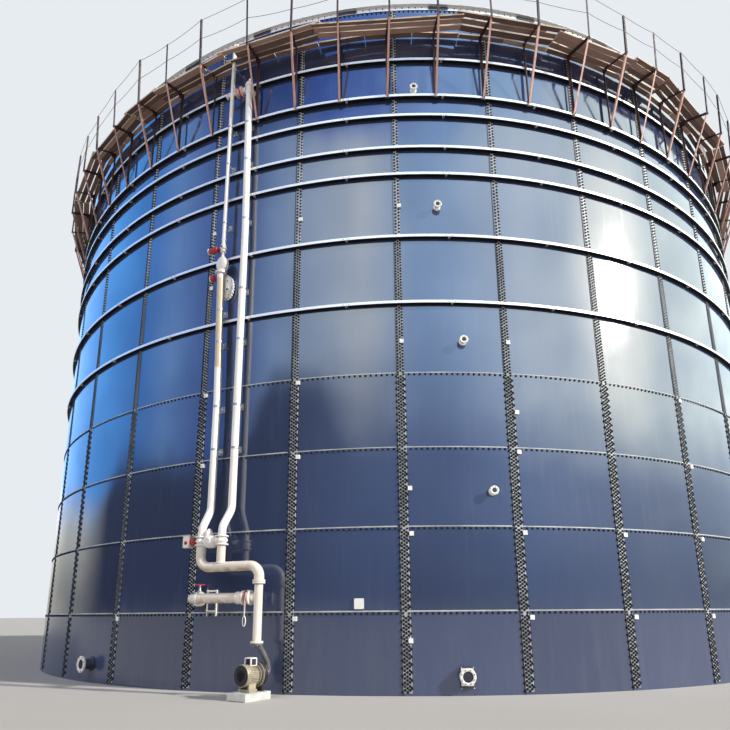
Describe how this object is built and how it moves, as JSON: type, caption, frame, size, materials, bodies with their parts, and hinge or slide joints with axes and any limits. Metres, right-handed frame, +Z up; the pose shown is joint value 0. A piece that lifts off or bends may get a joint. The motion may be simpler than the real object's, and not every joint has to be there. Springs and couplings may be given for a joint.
{
  "type": "biogas digester tank",
  "caption": "Round bolted steel digester tank with stiffener rings, a bracketed work platform with guard ropes, a low cone roof and a pumped pipe loop on the wall.",
  "frame": {"origin": "middle of the tank's underside, at ground level", "axes": "+Z up along the tank's axis; -Y towards the side that the picture shows, +X to the right of it"},
  "size_m": [22.907, 23.0068, 15.2334],
  "materials": {
    "enamel": "glossy dark blue-black glass enamel on steel sheet",
    "galvanised": "dull galvanised steel",
    "roof": "matt grey painted sheet",
    "rusty_steel": "rust-red primer, weathered and rusty",
    "timber": "weathered rough-sawn boards",
    "pipe_paint": "off-white paint, stained",
    "red_paint": "red enamel paint",
    "cast_body": "olive painted casting",
    "motor_paint": "dark paint with dust",
    "grey_paint": "plain grey paint"
  },
  "bodies": {
    "root": {"wall_01": "enamel", "wall_02": "enamel", "wall_03": "enamel", "wall_04": "enamel", "wall_05": "enamel", "wall_06": "enamel", "wall_07": "enamel", "wall_08": "enamel", "wall_09": "enamel", "wall_10": "enamel", "wall_11": "enamel", "floor_plate": "enamel", "stiffener_ring_1": "galvanised", "stiffener_ring_2": "galvanised", "stiffener_ring_3": "galvanised", "stiffener_ring_4": "galvanised", "stiffener_ring_5": "galvanised", "stiffener_ring_6": "galvanised", "top_rim": "galvanised", "roof_cone": "roof", "roof_crown": "roof", "bracket_ring_a": "rusty_steel", "bracket_ring_b": "rusty_steel", "bracket_ring_c": "rusty_steel", "bracket_ring_d": "rusty_steel", "deck_a": "timber", "deck_b": "timber", "deck_c": "timber", "deck_d": "timber", "guard_rail_a": "rusty_steel", "guard_rail_b": "rusty_steel", "guard_rail_c": "rusty_steel", "guard_rail_d": "rusty_steel", "left_riser": "pipe_paint", "thin_riser": "pipe_paint", "right_riser": "pipe_paint", "riser_check_valve": "pipe_paint", "round_valve_body": "pipe_paint", "side_stub": "pipe_paint", "manifold_pipe": "pipe_paint", "manifold_valves": "pipe_paint", "drop_pipe": "pipe_paint", "branch_pipe": "pipe_paint", "port_1": "pipe_paint", "port_2": "pipe_paint", "port_3": "pipe_paint", "port_4": "pipe_paint", "low_port_left": "pipe_paint", "low_port_right": "pipe_paint", "upper_red_valve": "red_paint", "lower_red_valve": "red_paint", "cross_line_valve": "red_paint", "actuator": "red_paint", "branch_valve": "red_paint", "outlet_valve": "red_paint", "pump_casing": "cast_body", "pump_motor": "motor_paint", "pump_bed": "galvanised", "suction_bend": "grey_paint"}
  },
  "joints": []
}
